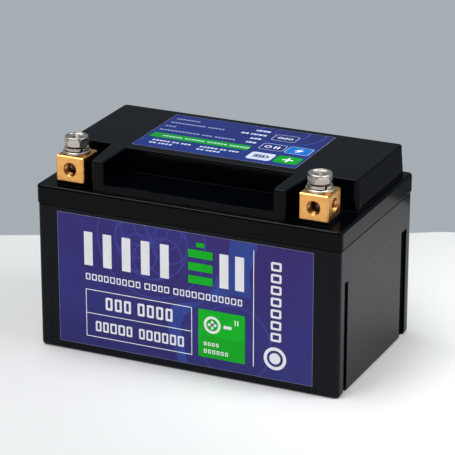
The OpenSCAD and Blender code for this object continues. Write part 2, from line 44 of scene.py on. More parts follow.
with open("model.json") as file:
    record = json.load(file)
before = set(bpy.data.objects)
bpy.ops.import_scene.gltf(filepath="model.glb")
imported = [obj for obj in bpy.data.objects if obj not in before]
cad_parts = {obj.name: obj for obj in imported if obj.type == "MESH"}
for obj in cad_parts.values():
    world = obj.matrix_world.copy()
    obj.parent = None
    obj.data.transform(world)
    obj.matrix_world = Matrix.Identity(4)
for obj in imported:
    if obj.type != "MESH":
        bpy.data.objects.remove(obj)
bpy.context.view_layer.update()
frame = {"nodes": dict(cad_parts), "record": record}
nodes = frame["nodes"]
scene = bpy.context.scene


# ---------------------------------------------------------------- meshes
def finish_mesh(name, bm, body, material, smooth_angle):
    """Turns a bmesh in millimetres into an object that rides on a body, smooth where its faces meet at less than an
    angle in degrees."""
    bmesh.ops.remove_doubles(bm, verts=bm.verts, dist=WELD_DISTANCE)
    bmesh.ops.recalc_face_normals(bm, faces=bm.faces)
    mesh = bpy.data.meshes.new(name)
    bm.to_mesh(mesh)
    bm.free()
    mesh.transform(Matrix.Scale(MM, 4))
    for polygon in mesh.polygons:
        polygon.use_smooth = True
    mesh.set_sharp_from_angle(angle=math.radians(smooth_angle))
    mesh.materials.append(material)
    obj = bpy.data.objects.new(name, mesh)
    scene.collection.objects.link(obj)
    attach(obj, body)
    return obj


def box_mm(node):
    """Lowest and highest corner of a CAD node, in millimetres."""
    low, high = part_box(node)
    return low / MM, high / MM


def ring(bm, centre, radii, height):
    """A closed ring of vertices about a vertical axis, with one radius for all or a list with one for each."""
    if not isinstance(radii, list):
        radii = [radii] * COLUMNS
    return [
        bm.verts.new((centre.x + r * math.cos(a), centre.y + r * math.sin(a), centre.z + height))
        for r, a in zip(radii, RING_ANGLES)
    ]


def bridge(bm, lower, upper):
    """Quads between two rings with the same number of vertices."""
    n = len(lower)
    for i in range(n):
        bm.faces.new((lower[i], lower[(i + 1) % n], upper[(i + 1) % n], upper[i]))


def stack(bm, centre, first, rings):
    """Rings of (radii, height) joined to a first ring and to each other. Returns the last one."""
    for radii, height in rings:
        fresh = ring(bm, centre, radii, height)
        bridge(bm, first, fresh)
        first = fresh
    return first


def thread_rows(bm, centre, bottom, top, profile, core):
    """Helical surface between two heights. profile(share of the pitch) is its radius, and core is its radius at
    both ends. Returns its lowest and its highest ring."""
    rows = int(math.ceil((top - bottom) / PITCH) + 2) * ROWS_A_TURN
    start = bottom - PITCH
    grid = []
    for row in range(rows + 1):
        line = []
        for column, angle in enumerate(RING_ANGLES):
            height = start + PITCH * (row / ROWS_A_TURN + column / COLUMNS)
            radius = profile((row / ROWS_A_TURN) % 1.0) if bottom < height < top else core
            # the ridge runs out near both ends
            room = min(height - bottom, top - height) / (0.5 * PITCH)
            radius = core + (radius - core) * max(0.0, min(1.0, room))
            height = max(bottom, min(top, height))
            place = (centre.x + radius * math.cos(angle), centre.y + radius * math.sin(angle), centre.z + height)
            line.append(bm.verts.new(place))
        grid.append(line)
    for row in range(rows):
        lower, upper = grid[row], grid[row + 1]
        for column in range(COLUMNS - 1):
            bm.faces.new((lower[column], lower[column + 1], upper[column + 1], upper[column]))
        # the last column meets the first one a turn higher
        if row + ROWS_A_TURN + 1 <= rows:
            next_lower, next_upper = grid[row + ROWS_A_TURN], grid[row + ROWS_A_TURN + 1]
            bm.faces.new((lower[-1], next_lower[0], next_upper[0], upper[-1]))
    # what is left of the first and last turns lies flat in the end planes and goes away here
    bmesh.ops.remove_doubles(bm, verts=bm.verts, dist=WELD_DISTANCE)
    bmesh.ops.dissolve_degenerate(bm, dist=0.1 * WELD_DISTANCE, edges=bm.edges)
    for vertex in [v for v in bm.verts if not v.link_faces]:
        bm.verts.remove(vertex)

    def end_ring(height):
        found = [v for v in bm.verts if abs(v.co.z - centre.z - height) < 10 * WELD_DISTANCE and v.is_boundary]
        return sorted(found, key=lambda v: math.atan2(v.co.y - centre.y, v.co.x - centre.x) % (2 * math.pi))

    return end_ring(bottom), end_ring(top)


def v_thread(minor, major):
    """Profile of a thread that goes straight from a narrow flat root to a narrow flat crest."""
    root, flank = 0.12, 0.74

    def radius(share):
        rise = 1.0 - abs(2.0 * share - 1.0)
        return minor + (major - minor) * max(0.0, min(1.0, (rise - root) / flank))

    return radius


# ---------------------------------------------------------------- materials
class Nodes:
    """A node tree, built with short calls."""

    def __init__(self, tree, coordinates):
        self.tree = tree
        self.place = tree.nodes.new("ShaderNodeTexCoord").outputs[coordinates]

    def put(self, socket, value):
        if isinstance(value, bpy.types.NodeSocket):
            self.tree.links.new(value, socket)
        elif value is not None:
            socket.default_value = value

    def noise(self, scale, detail, stretch=None, roughness=0.55):
        """Noise with about scale lumps to a metre, and more of them along each axis by its stretch."""
        node = self.tree.nodes.new("ShaderNodeTexNoise")
        node.inputs["Scale"].default_value = scale
        node.inputs["Detail"].default_value = detail
        node.inputs["Roughness"].default_value = roughness
        place = self.stretched(stretch) if stretch else self.place
        self.tree.links.new(place, node.inputs["Vector"])
        return node.outputs["Fac"]

    def stretched(self, scales):
        node = self.tree.nodes.new("ShaderNodeMapping")
        node.inputs["Scale"].default_value = scales
        self.tree.links.new(self.place, node.inputs["Vector"])
        return node.outputs["Vector"]

    def axis(self, name):
        node = self.tree.nodes.new("ShaderNodeSeparateXYZ")
        self.tree.links.new(self.place, node.inputs["Vector"])
        return node.outputs[name]

    def math(self, operation, a, b=None, clamp=False):
        node = self.tree.nodes.new("ShaderNodeMath")
        node.operation = operation
        node.use_clamp = clamp
        self.put(node.inputs[0], a)
        self.put(node.inputs[1], b)
        return node.outputs["Value"]

    def dot(self, a, b):
        node = self.tree.nodes.new("ShaderNodeVectorMath")
        node.operation = "DOT_PRODUCT"
        self.put(node.inputs[0], a)
        self.put(node.inputs[1], b)
        return node.outputs["Value"]

    def ramp(self, value, low, high, out_low=0.0, out_high=1.0):
        """Maps value smoothly, from low and high to out_low and out_high."""
        node = self.tree.nodes.new("ShaderNodeMapRange")
        node.interpolation_type = "SMOOTHSTEP"
        for name, number in (
            ("Value", value),
            ("From Min", low),
            ("From Max", high),
            ("To Min", out_low),
            ("To Max", out_high),
        ):
            self.put(node.inputs[name], number)
        return node.outputs["Result"]

    def mix(self, share, a, b):
        """Colour mix."""
        node = self.tree.nodes.new("ShaderNodeMix")
        node.data_type = "RGBA"
        sockets = [s for s in node.inputs if s.enabled]
        self.put(sockets[0], share)
        for socket, value in zip(sockets[1:], (a, b)):
            if isinstance(value, tuple):
                value = (*value, 1.0)
            self.put(socket, value)
        return next(s for s in node.outputs if s.enabled)

    def bump(self, height, depth, strength=1.0, normal=None):
        """Bump from a 0 to 1 height that stands for depth in millimetres."""
        node = self.tree.nodes.new("ShaderNodeBump")
        node.inputs["Strength"].default_value = strength
        node.inputs["Distance"].default_value = depth * MM
        self.put(node.inputs["Height"], height)
        self.put(node.inputs["Normal"], normal)
        return node.outputs["Normal"]

    def soft_edges(self, radius):
        """Normal with slightly rounded edges, radius in millimetres."""
        node = self.tree.nodes.new("ShaderNodeBevel")
        node.samples = 6
        node.inputs["Radius"].default_value = radius * MM
        return node.outputs["Normal"]

    def edge_mask(self, radius):
        """1 near edges, 0 elsewhere."""
        true_normal = self.tree.nodes.new("ShaderNodeNewGeometry").outputs["Normal"]
        return self.ramp(self.dot(self.soft_edges(radius), true_normal), 0.998, 0.9)


class Look(Nodes):
    """One procedural material."""

    def __init__(self, name):
        self.material = bpy.data.materials.new(name)
        self.material.use_nodes = True
        super().__init__(self.material.node_tree, "Object")
        self.shader = self.tree.nodes["Principled BSDF"]

    def set(self, **values):
        """Sockets of the shader by name, with _ for a space."""
        for name, value in values.items():
            if isinstance(value, tuple) and len(value) == 3:
                value = (*value, 1.0)
            self.put(self.shader.inputs[name.replace("_", " ")], value)
        return self.material


def plastic(name, dark, light, gloss, specular):
    """Glossy black moulded plastic: faint mottling, hazy patches, hair scratches, and paler edges that are a painted
    highlight mixed with rubbed wear.
    """
    # how much paler the edges get: painted highlight together with wear
    highlight_and_wear_brightness = 7.0
    look = Look(name)
    colour = look.mix(look.noise(55.0, 4.0), dark, light)
    # painted highlight along the edges, patchy like rubbed wear; the same mask also roughens the edges below
    edge_wear_and_highlight = look.math("MULTIPLY", look.edge_mask(0.35), look.ramp(look.noise(300.0, 3.0), 0.42, 0.7))
    colour = look.mix(look.math("MULTIPLY", edge_wear_and_highlight, 0.35), colour, tuple(c * highlight_and_wear_brightness for c in light))

    haze = look.ramp(look.noise(22.0, 3.0), 0.35, 0.7, gloss, gloss + 0.09)
    fine = look.noise(1400.0, 2.0)
    rough = look.math("ADD", haze, look.math("MULTIPLY", fine, 0.03))
    along = look.noise(90.0, 2.0, stretch=(1.0, 30.0, 9.0))
    across = look.noise(70.0, 2.0, stretch=(26.0, 1.0, 14.0))
    hair = look.math("MAXIMUM", look.ramp(along, 0.69, 0.74), look.ramp(across, 0.70, 0.75))
    rough = look.math("ADD", rough, look.math("MULTIPLY", hair, 0.12))
    rough = look.math("ADD", rough, look.math("MULTIPLY", edge_wear_and_highlight, 0.15), clamp=True)

    normal = look.bump(fine, 0.004, normal=look.soft_edges(0.4))
    normal = look.bump(look.noise(38.0, 1.0), 0.05, 0.5, normal=normal)
    return look.set(Base_Color=colour, Roughness=rough, Normal=normal, Specular_IOR_Level=specular)


def metal(name, dark, light, rough_low, rough_high, grain, tarnish_and_edge_shade=None, bite=0.4):
    """Machined metal: fine tool marks, uneven gloss, and optional darker tarnished spots, with painted shade along
    the edges that damps their highlight.
    """
    look = Look(name)
    colour = look.mix(look.ramp(look.noise(260.0, 4.0), 0.3, 0.7), dark, light)
    if tarnish_and_edge_shade:
        spots = look.ramp(look.noise(620.0, 5.0, roughness=0.7), 0.61, 0.74)
        colour = look.mix(look.math("MULTIPLY", spots, 0.4), colour, tarnish_and_edge_shade)
        # painted shade: the edges turn a deeper brown, which damps the highlight along them
        edges = look.math("MULTIPLY", look.edge_mask(0.3), 0.8)
        colour = look.mix(edges, colour, tuple(0.6 * c for c in tarnish_and_edge_shade))
    rough = look.ramp(look.noise(420.0, 3.0), 0.3, 0.7, rough_low, rough_high)
    marks = look.noise(900.0, 3.0, stretch=grain)
    normal = look.bump(marks, 0.004, bite, normal=look.soft_edges(0.12))
    return look.set(Base_Color=colour, Roughness=rough, Normal=normal, Metallic=1.0)


def dull(name, dark, light, rough, grain_scale, depth, specular=0.4):
    """Plain inner material: mottled colour, uneven roughness and a fine grain."""
    look = Look(name)
    grain = look.noise(grain_scale, 4.0)
    colour = look.mix(look.ramp(look.noise(grain_scale / 6.0, 3.0), 0.3, 0.7), dark, light)
    rough = look.ramp(grain, 0.3, 0.7, rough - 0.08, rough + 0.08)
    normal = look.bump(grain, depth)
    return look.set(Base_Color=colour, Roughness=rough, Normal=normal, Specular_IOR_Level=specular)


def ink(name, colour, shade=0.9):
    """Printing ink under a clear film, with slightly uneven coverage."""
    look = Look(name)
    darker = tuple(c * shade for c in colour)
    colour = look.mix(look.ramp(look.noise(160.0, 3.0), 0.3, 0.7), darker, colour)
    rough = look.ramp(look.noise(700.0, 2.0), 0.3, 0.7, 0.29, 0.39)
    normal = look.bump(look.noise(1800.0, 2.0), 0.003)
    return look.set(Base_Color=colour, Roughness=rough, Normal=normal, Specular_IOR_Level=0.3)


def film(name, node, flat_axes, colours, circles):
    """Printed film: a slow change of colour, faint thin circles, and a thin pale cut edge. Each entry of circles is a
    middle and the radii about it, in millimetres."""
    low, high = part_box(node)
    first, second = flat_axes
    look = Look(name)
    a = look.axis("XYZ"[first])
    b = look.axis("XYZ"[second])
    along = look.ramp(a, low[first], high[first])
    up = look.ramp(b, low[second], high[second])
    left, right, bottom, patches = colours
    colour = look.mix(along, left, right)
    colour = look.mix(look.math("MULTIPLY", look.math("SUBTRACT", 1.0, up), 0.55), colour, bottom)
    colour = look.mix(look.ramp(look.noise(26.0, 2.0), 0.35, 0.75, 0.0, 0.35), colour, patches)

    lines = None
    for x, y, radii in circles:
        dx = look.math("SUBTRACT", a, x * MM)
        dy = look.math("SUBTRACT", b, y * MM)
        away = look.math("SQRT", look.math("ADD", look.math("MULTIPLY", dx, dx), look.math("MULTIPLY", dy, dy)))
        for radius in radii:
            off = look.math("ABSOLUTE", look.math("SUBTRACT", away, radius * MM))
            line = look.ramp(off, 0.12 * MM, 0.45 * MM, 1.0, 0.0)
            lines = line if lines is None else look.math("MAXIMUM", lines, line)
    colour = look.mix(look.math("MULTIPLY", lines, 0.7), colour, CIRCLE_BLUE)

    nearest = [
        look.math("MINIMUM", look.math("SUBTRACT", place, low[axis]), look.math("SUBTRACT", high[axis], place))
        for place, axis in ((a, first), (b, second))
    ]
    cut_edge = look.ramp(look.math("MINIMUM", *nearest), 0.12 * MM, 0.25 * MM, 1.0, 0.0)
    colour = look.mix(look.math("MULTIPLY", cut_edge, 0.65), colour, CUT_EDGE)

    rough = look.ramp(look.noise(240.0, 3.0), 0.3, 0.7, 0.3, 0.42)
    normal = look.bump(look.noise(60.0, 2.0), 0.012)
    normal = look.bump(look.noise(1600.0, 2.0), 0.002, normal=normal)
    return look.set(Base_Color=colour, Roughness=rough, Normal=normal, Specular_IOR_Level=0.3)


# colours at the left, the right and the bottom of each label, and of its patches
FRONT_COLOURS = (0.064, 0.047, 0.242), (0.070, 0.042, 0.225), (0.040, 0.045, 0.210), (0.062, 0.082, 0.345)
TOP_COLOURS = (0.026, 0.038, 0.215), (0.024, 0.030, 0.150), (0.012, 0.050, 0.280), (0.020, 0.060, 0.260)
CIRCLE_BLUE = (0.085, 0.120, 0.480)
CUT_EDGE = (0.45, 0.44, 0.52)
# circles that all pass through one middle
ROSETTE_X, ROSETTE_Z, ROSETTE_RADIUS = -17.0, 60.0, 9.0
ROSETTE = [
    (
        ROSETTE_X + ROSETTE_RADIUS * math.cos(math.radians(a)),
        ROSETTE_Z + ROSETTE_RADIUS * math.sin(math.radians(a)),
        (ROSETTE_RADIUS,),
    )
    for a in range(0, 360, 45)
]
FRONT_CIRCLES = [(ROSETTE_X, ROSETTE_Z, (18.0, 27.0)), (24.0, 18.0, (18.0,)), *ROSETTE]
TOP_CIRCLES = [(20.0, 30.0, (8.0, 16.0))]

INKS = {
    "white": ink("white_ink", (0.90, 0.89, 0.91), shade=0.97),
    "green": ink("green_ink", (0.006, 0.54, 0.028), shade=0.95),
    "dark_green": ink("dark_green_ink", (0.005, 0.49, 0.024), shade=0.95),
    "deep_green": ink("deep_green_ink", (0.003, 0.36, 0.035), shade=0.93),
    "sky": ink("sky_blue_ink", (0.008, 0.19, 0.55)),
    "facet": ink("facet_blue_ink", (0.062, 0.105, 0.40), shade=0.85),
    "navy": ink("navy_ink", (0.05, 0.05, 0.17)),
    "thin_blue": ink("thin_blue_ink", (0.08, 0.11, 0.34)),
    "pale": ink("pale_ink", (0.62, 0.67, 0.80), shade=0.95),
    "grey": ink("grey_ink", (0.36, 0.39, 0.56), shade=0.95),
}

CASE = plastic("case_plastic_look", (0.0015, 0.0036, 0.0070), (0.0030, 0.0060, 0.0112), 0.08, 0.29)
LID = plastic("lid_plastic_look", (0.0008, 0.0017, 0.0030), (0.0018, 0.0034, 0.0056), 0.08, 0.21)
SOFT_BITE = 0.12
# brass with tarnished spots and painted shade along its edges
BRASS = metal(
    "brass_look", (0.99, 0.54, 0.20), (1.0, 0.60, 0.24), 0.27, 0.36, (1.0, 1.0, 6.0),
    tarnish_and_edge_shade=(0.66, 0.30, 0.10), bite=SOFT_BITE,
)
STEEL = metal(
    "screw_steel_look", (0.64, 0.585, 0.535), (0.76, 0.70, 0.65), 0.32, 0.42, (1.0, 1.0, 6.0), bite=SOFT_BITE
)
WASHER_STEEL = metal(
    "washer_steel_look", (0.60, 0.55, 0.50), (0.74, 0.68, 0.63), 0.32, 0.42, (6.0, 6.0, 1.0), bite=SOFT_BITE
)

SLOT_LOOKS = {
    "case_plastic": CASE,
    "lid_plastic": LID,
    "black_rubber": dull("black_rubber_look", (0.012, 0.012, 0.013), (0.022, 0.022, 0.023), 0.72, 1500.0, 0.01),
    "printed_film": film("front_film_look", "front_label", (0, 2), FRONT_COLOURS, FRONT_CIRCLES),
    "terminal_brass": BRASS,
    "screw_steel": STEEL,
    "washer_steel": WASHER_STEEL,
    "cell_sleeve": dull("cell_sleeve_look", (0.03, 0.11, 0.36), (0.05, 0.17, 0.5), 0.3, 500.0, 0.01, 0.5),
    "holder_plastic": dull("holder_plastic_look", (0.035, 0.035, 0.04), (0.06, 0.06, 0.065), 0.5, 1200.0, 0.01),
    "nickel_strip": metal("nickel_strip_look", (0.58, 0.55, 0.5), (0.7, 0.68, 0.62), 0.25, 0.4, (1.0, 12.0, 1.0)),
    "copper_strap": metal("copper_strap_look", (0.72, 0.32, 0.16), (0.82, 0.42, 0.24), 0.28, 0.42, (14.0, 1.0, 1.0)),
    "insulating_sheet": dull("insulating_sheet_look", (0.6, 0.48, 0.26), (0.74, 0.62, 0.38), 0.7, 900.0, 0.02),
    "foam": dull("foam_look", (0.05, 0.05, 0.055), (0.1, 0.1, 0.105), 0.85, 1600.0, 0.08, 0.2),
    "board_laminate": dull("board_laminate_look", (0.008, 0.09, 0.035), (0.012, 0.14, 0.06), 0.35, 700.0, 0.006, 0.5),
    "board_component": dull("board_component_look", (0.015, 0.015, 0.016), (0.028, 0.028, 0.03), 0.45, 1600.0, 0.006),
    "heat_plate_metal": metal(
        "heat_plate_look", (0.55, 0.56, 0.58), (0.68, 0.69, 0.71), 0.3, 0.45, (1.0, 14.0, 14.0)
    ),
    "plug_plastic": dull("plug_plastic_look", (0.74, 0.73, 0.66), (0.86, 0.85, 0.78), 0.45, 900.0, 0.006),
    "wire_sleeve": dull("wire_sleeve_look", (0.36, 0.02, 0.014), (0.5, 0.04, 0.025), 0.4, 1200.0, 0.006),
}
TOP_FILM = film("top_film_look", "top_label", (0, 1), TOP_COLOURS, TOP_CIRCLES)

for row in frame["record"]["subparts"]:
    materials = nodes[row["node"]].data.materials
    materials.clear()
    materials.append(TOP_FILM if row["node"] == "top_label" else SLOT_LOOKS[row["material_slot"]])


# ---------------------------------------------------------------- printing on the labels
class Print:
    """Flat printing on one label. Shapes are given in the label's own plane, in millimetres, and each colour becomes
    one mesh of thin prisms that stand a little proud of the film."""

    # a layer's thickness, how far the lowest layers reach into the film, and others into the one below
    THICKNESS = 0.03
    SINK = 0.02
    OVERLAP = 0.01

    def __init__(self, label, normal, up):
        low, high = box_mm(label)
        self.label = label
        self.normal = Vector(normal)
        self.up = Vector(up)
        self.right = self.up.cross(self.normal)
        self.face = max(low.dot(self.normal), high.dot(self.normal))
        self.inks = {}

    def point(self, u, v, height):
        return self.right * u + self.up * v + self.normal * (self.face + height)

    def prism(self, ink_name, outline, hole=None, layer=0):
        """Prism of an outline, or of the band between it and a hole with as many corners."""
        if ink_name not in self.inks:
            self.inks[ink_name] = bmesh.new()
        bm = self.inks[ink_name]
        bottom = -self.SINK if layer == 0 else self.THICKNESS * layer - self.OVERLAP
        top = self.THICKNESS * (layer + 1)
        loops = [
            [[bm.verts.new(self.point(u, v, height)) for u, v in points] for height in (bottom, top)]
            for points in (outline, hole)
            if points
        ]
        for lower, upper in loops:
            bridge(bm, lower, upper)
        if hole:
            (outer_low, outer_high), (inner_low, inner_high) = loops
            bridge(bm, outer_low, inner_low)
            bridge(bm, outer_high, inner_high)
        else:
            bm.faces.new(loops[0][0])
            bm.faces.new(loops[0][1])

    def bar(self, ink_name, u0, v0, u1, v1, radius=0.0, layer=0):
        self.prism(ink_name, rounded(u0, v0, u1, v1, radius), layer=layer)

    def frame(self, ink_name, u0, v0, u1, v1, width, radius=0.0, layer=0):
        outer = rounded(u0, v0, u1, v1, radius)
        inner = rounded(u0 + width, v0 + width, u1 - width, v1 - width, max(0.0, radius - width), radius > 0)
        self.prism(ink_name, outer, inner, layer)

    def disc(self, ink_name, u, v, radius, hole=None, layer=0):
        outer = circle(u, v, radius)
        self.prism(ink_name, outer, circle(u, v, hole) if hole else None, layer)

    def build(self):
        for ink_name, bm in self.inks.items():
            finish_mesh(f"{self.label}_{ink_name}", bm, "root", INKS[ink_name], 20.0)


def circle(u, v, radius):
    """Polygon with so many corners that it looks round."""
    count = 40
    return [
        (u + radius * math.cos(2 * math.pi * i / count), v + radius * math.sin(2 * math.pi * i / count))
        for i in range(count)
    ]


def rounded(u0, v0, u1, v1, radius, force=False):
    """Rectangle with round corners, or with plain ones at radius 0. force keeps the round ones, as small as they may
    get, so that it has as many corners as the outline round it."""
    if radius <= 0 and not force:
        return [(u0, v0), (u1, v0), (u1, v1), (u0, v1)]
    smallest, steps = 0.02, 5
    radius = max(radius, smallest)
    points = []
    for cu, cv, turn in (
        (u1 - radius, v1 - radius, 0),
        (u0 + radius, v1 - radius, 90),
        (u0 + radius, v0 + radius, 180),
        (u1 - radius, v0 + radius, 270),
    ):
        for i in range(steps + 1):
            a = math.radians(turn + 90 * i / steps)
            points.append((cu + radius * math.cos(a), cv + radius * math.sin(a)))
    return points


def blocks(sheet, ink_name, u, v, height, widths, gap, word_gap, layer=0, stroke=None):
    """A line of small blocks. A width of 0 is a space. With a stroke, the wider blocks are hollow."""
    least_hollow = 2.2 * stroke if stroke else math.inf
    for width in widths:
        if width == 0:
            u += word_gap
            continue
        if width > least_hollow:
            sheet.frame(ink_name, u, v, u + width, v + height, stroke, 0.6 * stroke, layer)
        else:
            sheet.bar(ink_name, u, v, u + width, v + height, min(width, height) * 0.2, layer)
        u += width + gap


def print_front():
    sheet = Print("front_label", (0, -1, 0), (0, 0, 1))
    # pale facets behind everything else
    sheet.prism(
        "facet",
        [(21.9, 67.2), (35.6, 67.2), (31.5, 52.0), (32.4, 41.0), (24.0, 41.5), (10.4, 36.0), (13.0, 42.0),
         (15.6, 49.0), (20.6, 54.0)],
    )
    sheet.prism(
        "facet",
        [(9.8, 35.8), (-2.3, 33.0), (-7.4, 31.0), (-9.1, 20.6), (-6.5, 11.6), (-3.4, 4.3), (0.8, 4.3), (-2.7, 21.8),
         (-0.5, 27.4), (5.3, 32.4)],
    )
    # charge meter: upright bars, with a stacked battery sign among them
    foot, bar_width, bar_height = 43.6, 4.4, 16.3
    for u in (-51.0, -41.4, -31.8, -22.2, -12.6, 16.8, 24.4):
        sheet.bar("white", u, foot, u + bar_width, foot + bar_height, 0.2, layer=1)
    stack_height, stack_step = 3.8, 6.2
    for place in range(3):
        v = foot + stack_step * place
        sheet.bar("green", 1.4, v, 13.4, v + stack_height, 0.15, layer=1)
    sheet.bar("green", 5.4, 61.2, 9.4, 63.4, 0.15, layer=1)
    blocks(
        sheet, "white", -50.4, 36.5, 3.2,
        [2.4, 2.6, 2.2, 2.4, 2.6, 2.2, 2.4, 3.0, 2.4, 0, 3.0, 2.6, 2.2, 2.6, 0]
        + [2.6, 2.2, 2.2, 2.6, 3.0, 2.4, 2.6, 2.4, 2.2, 2.6, 2.2],
        0.7, 1.3, layer=1, stroke=0.6,
    )
    # box of two rows of blocks
    sheet.frame("white", -50.6, 8.6, 3.2, 32.0, 0.42, layer=1)
    sheet.bar("white", -50.3, 20.0, 2.9, 20.4, layer=1)
    blocks(
        sheet, "white", -40.5, 23.0, 6.2, [3.6] * 3 + [0] + [3.6] * 4, 1.1, 2.2, layer=1, stroke=1.15
    )
    blocks(
        sheet, "white", -45.8, 11.7, 5.1, [3.0, 3.0, 3.4, 3.4, 3.0, 0, 3.0] + [3.2] * 5, 0.75, 2.6,
        layer=1, stroke=0.95,
    )
    # green tile
    sheet.bar("green", 6.3, 8.8, 29.3, 32.0, 0.5, layer=1)
    sheet.bar("dark_green", 6.6, 9.1, 29.0, 19.5, 0.4, layer=2)
    sheet.disc("white", 13.2, 25.0, 4.2, 2.9, layer=2)
    sheet.bar("white", 12.6, 22.9, 13.8, 27.1, 0.2, layer=3)
    sheet.bar("white", 11.1, 24.4, 15.3, 25.6, 0.2, layer=3)
    sheet.bar("white", 18.8, 24.2, 22.8, 25.8, 0.2, layer=2)
    blocks(sheet, "white", 24.2, 26.6, 2.6, [0.6, 0.6], 0.7, 0.5, layer=2)
    blocks(sheet, "white", 9.0, 14.6, 1.8, [1.4] * 4, 0.6, 1.0, layer=3, stroke=0.45)
    blocks(sheet, "white", 9.0, 10.9, 2.0, [1.5] * 6, 0.6, 1.0, layer=3, stroke=0.45)
    # line, column of blocks and ring at the right
    sheet.bar("white", 33.2, 8.5, 33.65, 64.2, layer=1)
    block_height, block_step = 4.3, 5.6
    for place in range(7):
        v = 22.4 + block_step * place
        sheet.frame("white", 41.7, v, 46.9, v + block_height, 1.1, 0.8, layer=1)
    sheet.disc("white", 43.9, 14.2, 5.5, 3.9, layer=1)
    sheet.disc("white", 43.9, 14.2, 2.7, layer=1)
    sheet.build()


# signs of the tiles on the top label, each about its middle
def rings_sign(sheet, cu, cv):
    for shift in (-2.6, 0.0, 2.6):
        sheet.disc("white", cu + shift, cv, 1.2, 0.7, layer=2)
    sheet.bar("white", cu - 1.5, cv - 0.2, cu - 1.1, cv + 0.2, layer=2)
    sheet.bar("white", cu + 1.1, cv - 0.2, cu + 1.5, cv + 0.2, layer=2)


def ring_and_bars_sign(sheet, cu, cv):
    sheet.disc("white", cu - 2.4, cv, 1.7, 1.1, layer=2)
    sheet.bar("white", cu + 0.6, cv - 1.7, cu + 1.5, cv + 1.7, 0.2, layer=2)
    sheet.bar("white", cu + 2.3, cv - 1.7, cu + 3.2, cv + 1.7, 0.2, layer=2)


def bolt_sign(sheet, cu, cv):
    half = [(1.2, 2.9), (-2.4, -0.5), (-0.3, -0.5)]
    sheet.prism("white", [(cu + sign * u, cv + sign * v) for sign in (1, -1) for u, v in half], layer=2)


def battery_sign(sheet, cu, cv):
    sheet.frame("navy", cu - 3.6, cv - 1.9, cu + 3.0, cv + 1.9, 0.45, 0.5, layer=2)
    sheet.bar("navy", cu + 3.2, cv - 0.8, cu + 4.0, cv + 0.8, 0.15, layer=2)
    for shift in (-2.7, -1.1, 0.5):
        sheet.bar("navy", cu + shift, cv - 1.1, cu + shift + 1.1, cv + 1.1, 0.1, layer=2)


def plus_sign(sheet, cu, cv):
    reach, half_width = 2.6, 0.55
    sheet.bar("white", cu - reach, cv - half_width, cu + reach, cv + half_width, 0.2, layer=2)
    sheet.bar("white", cu - half_width, cv - reach, cu + half_width, cv + reach, 0.2, layer=3)


def print_top():
    sheet = Print("top_label", (0, 0, 1), (0, 1, 0))
    # green band
    sheet.bar("deep_green", -39.2, 0.3, 10.2, 6.9, layer=1)
    blocks(sheet, "pale", -33.6, 2.8, 1.4, [1.4, 1.2, 1.5, 1.3, 1.2, 1.5, 0] * 4, 0.35, 1.1, layer=2)
    # four rows of small blocks, each with a shorter one that ends at the right, over a thin line
    rows = [
        ([1.2] * 8, [0.9, 1.8, 1.7, 1.8]),
        ([1.5, 1.4] * 5 + [0] + [1.4] * 5, [1.7, 1.7, 0, 0.9, 1.7, 0.5, 1.8, 1.7]),
        ([1.6, 1.5, 1.6], [1.5, 1.6, 1.5]),
        ([1.6, 1.5] * 5 + [1.5, 0] + [1.4] * 3 + [0] + [1.4] * 6, [0.9, 1.7, 1.7]),
    ]
    right_end, row_step, gap = 10.2, 5.6, 0.34
    for place, (title, value) in enumerate(rows):
        v = 27.6 - row_step * place
        blocks(sheet, "grey", -38.2 - 0.3 * place, v, 1.5, title, gap, 1.1, layer=1)
        width = sum(value) + gap * len(value)
        blocks(sheet, "pale", right_end - width, v - 0.3, 2.1, value, gap, 0.8, layer=1)
        sheet.bar("thin_blue", -38.0, v - 1.5, 9.8, v - 1.3, layer=1)
    # two cells in front of the band, each with two rows
    sheet.frame("thin_blue", -39.2, -11.4, right_end, -0.6, 0.2, layer=1)
    sheet.bar("thin_blue", -14.6, -11.2, -14.4, -0.8, layer=1)
    for u in (-35.4, -11.4):
        for v, widths in (
            (-4.4, [1.4, 1.5, 1.4, 1.5, 1.4, 0, 1.5, 1.4, 0, 1.2, 1.4, 1.4]),
            (-8.1, [1.6, 1.5, 0, 1.2, 1.5, 1.5, 1.5]),
        ):
            blocks(sheet, "pale", u, v, 1.8, widths, 0.4, 0.8, layer=1)
    # five tiles: left, bottom, height, fill, whether it has an outline, and sign
    tile_width, corner = 12.0, 1.8
    for u, v, height, fill, outlined, sign in (
        (13.7, 18.6, 8.4, None, True, rings_sign),
        (13.4, 5.0, 8.6, None, True, ring_and_bars_sign),
        (26.4, 4.2, 9.8, "sky", True, bolt_sign),
        (13.4, -9.3, 9.8, "pale", False, battery_sign),
        (26.6, -9.3, 9.8, "deep_green", False, plus_sign),
    ):
        if fill:
            sheet.bar(fill, u, v, u + tile_width, v + height, corner, layer=1)
        if outlined:
            sheet.frame("pale", u, v, u + tile_width, v + height, 0.32, corner, layer=2)
        sign(sheet, u + tile_width / 2, v + height / 2)
    sheet.build()


print_front()
print_top()


# ---------------------------------------------------------------- screws, spring washers and threads
# how far each screw was turned when it was tightened, and its cross recess, in degrees
HEAD_TURN = {"positive": 12.0, "negative": 36.0}
CROSS_TURN = 25.0
MAJOR_RADIUS, MINOR_RADIUS = 2.95, 2.42


